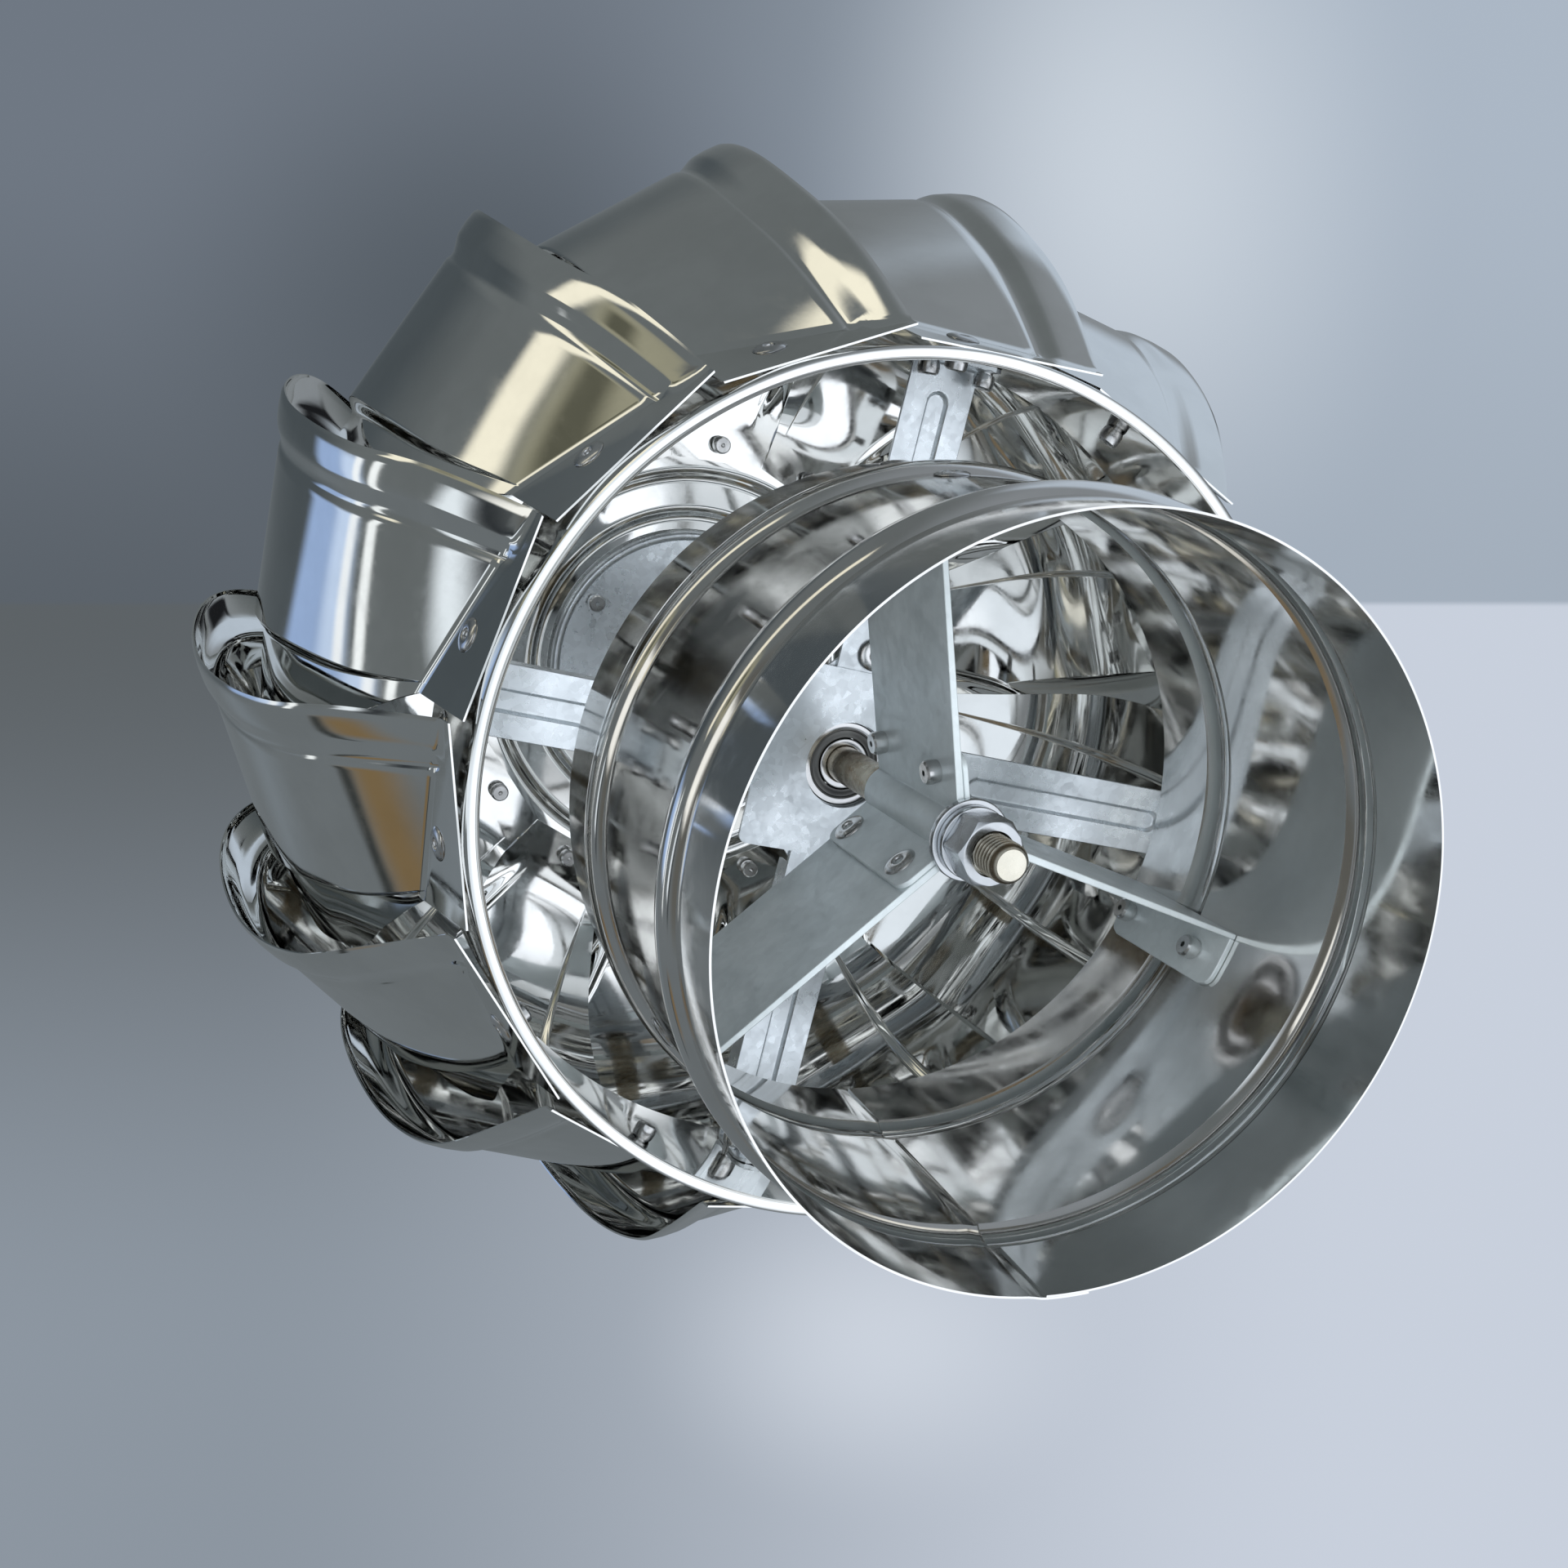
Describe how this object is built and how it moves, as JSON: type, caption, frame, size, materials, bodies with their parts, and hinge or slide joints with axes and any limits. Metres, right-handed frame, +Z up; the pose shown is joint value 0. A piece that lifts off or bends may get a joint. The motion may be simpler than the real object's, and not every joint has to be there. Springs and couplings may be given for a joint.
{
  "type": "rotating chimney cowl",
  "caption": "Rotating chimney cowl with a turbine head of curved stainless blades on a round duct collar.",
  "frame": {"origin": "centre of the collar's open rim, the face that the cowl stands on", "axes": "+Z up along the shaft from the collar to the head; +X and +Y lie in the rim's plane"},
  "size_m": [0.4034, 0.398, 0.3558],
  "materials": {
    "stainless_sheet": "polished",
    "galvanised_sheet": "satin",
    "rivet_steel": "satin",
    "zinc_plated": "satin",
    "bearing_steel": "polished",
    "shaft_steel": "satin"
  },
  "bodies": {
    "base": {"duct_collar": "stainless_sheet", "strap_1": "galvanised_sheet", "strap_2": "galvanised_sheet", "strap_3": "galvanised_sheet", "strap_hub_rivets": "rivet_steel", "strap_foot_rivets": "rivet_steel", "shaft": "shaft_steel", "flat_washer": "zinc_plated", "spring_washer": "zinc_plated", "hex_nut": "zinc_plated", "lower_bearing_inner_race": "bearing_steel", "upper_bearing_inner_race": "bearing_steel", "shaft_circlip": "bearing_steel"},
    "rotor": {"lower_ring": "stainless_sheet", "spider_arm_1": "galvanised_sheet", "spider_arm_2": "galvanised_sheet", "spider_arm_3": "galvanised_sheet", "spider_arm_4": "galvanised_sheet", "hub_plate_lower": "galvanised_sheet", "hub_plate_upper": "galvanised_sheet", "hub_plate_rivets": "rivet_steel", "arm_ring_rivets": "rivet_steel", "lower_bearing_outer_race": "bearing_steel", "upper_bearing_outer_race": "bearing_steel", "blade_01": "stainless_sheet", "blade_02": "stainless_sheet", "blade_03": "stainless_sheet", "blade_04": "stainless_sheet", "blade_05": "stainless_sheet", "blade_06": "stainless_sheet", "blade_07": "stainless_sheet", "blade_08": "stainless_sheet", "blade_09": "stainless_sheet", "blade_10": "stainless_sheet", "blade_11": "stainless_sheet", "blade_12": "stainless_sheet", "blade_13": "stainless_sheet", "blade_14": "stainless_sheet", "blade_lower_rivets": "rivet_steel", "blade_upper_rivets": "rivet_steel", "top_cap": "stainless_sheet", "bearing_carrier": "galvanised_sheet", "carrier_rivets": "rivet_steel"}
  },
  "joints": [
    {"name": "rotor_spin", "type": "hinge", "parent": "base", "child": "rotor", "pos_m": [0, 0, 0.17], "axis": [0, 0, 1], "continuous": true}
  ]
}
